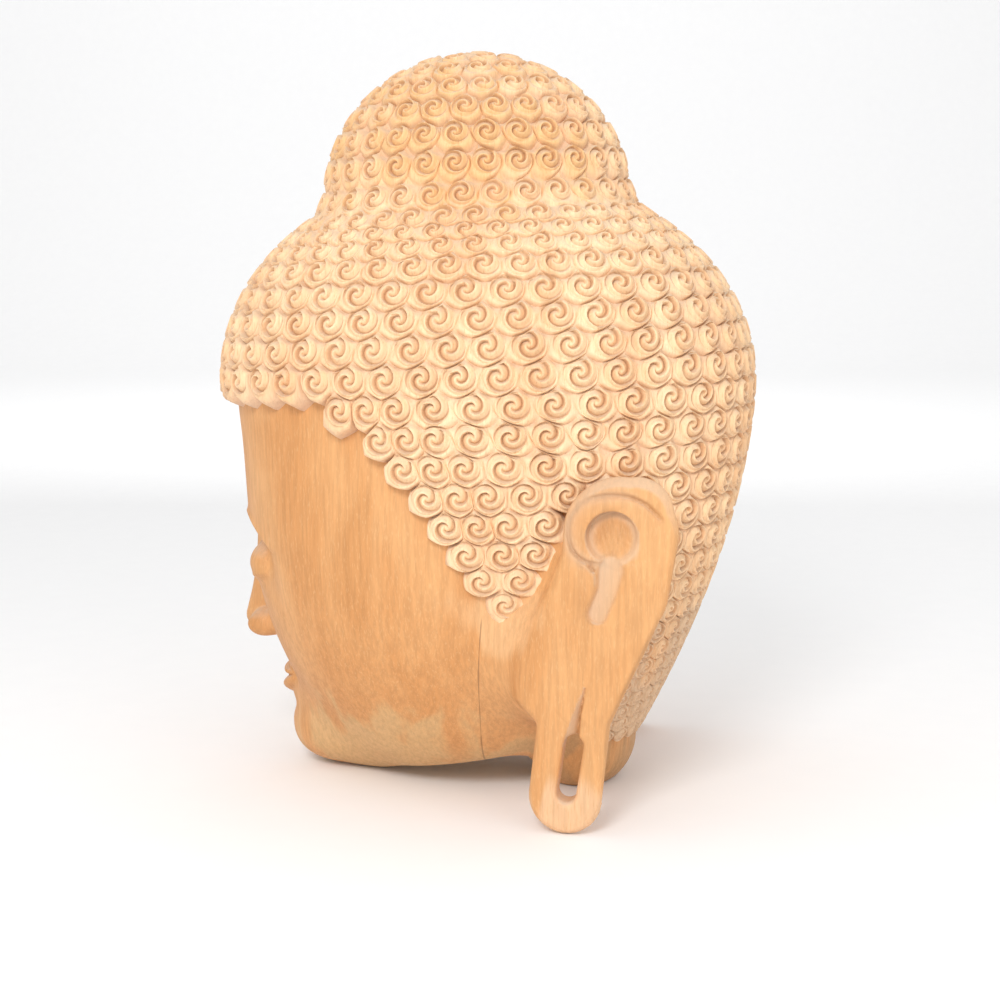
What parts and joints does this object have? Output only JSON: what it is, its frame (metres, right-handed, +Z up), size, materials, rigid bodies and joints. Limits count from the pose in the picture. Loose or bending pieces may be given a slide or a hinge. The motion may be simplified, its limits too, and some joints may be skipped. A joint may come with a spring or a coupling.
{
  "type": "buddha head carving",
  "caption": "Carved wooden Buddha head with snail-shell curls, domed topknot, calm face and long pierced ears, resting on its chin, ear lobes and neck.",
  "frame": {"origin": "on the resting plane, under the middle of the head's box", "axes": "+Z up through the topknot; the face looks along -Y; the head's own left ear is on +X"},
  "size_m": [0.3398, 0.4447, 0.601],
  "materials": {
    "wood": "bare honey-coloured carved wood with a dull sheen, dusty on the surfaces that face up"
  },
  "bodies": {
    "root": {"head": "wood"}
  },
  "joints": []
}
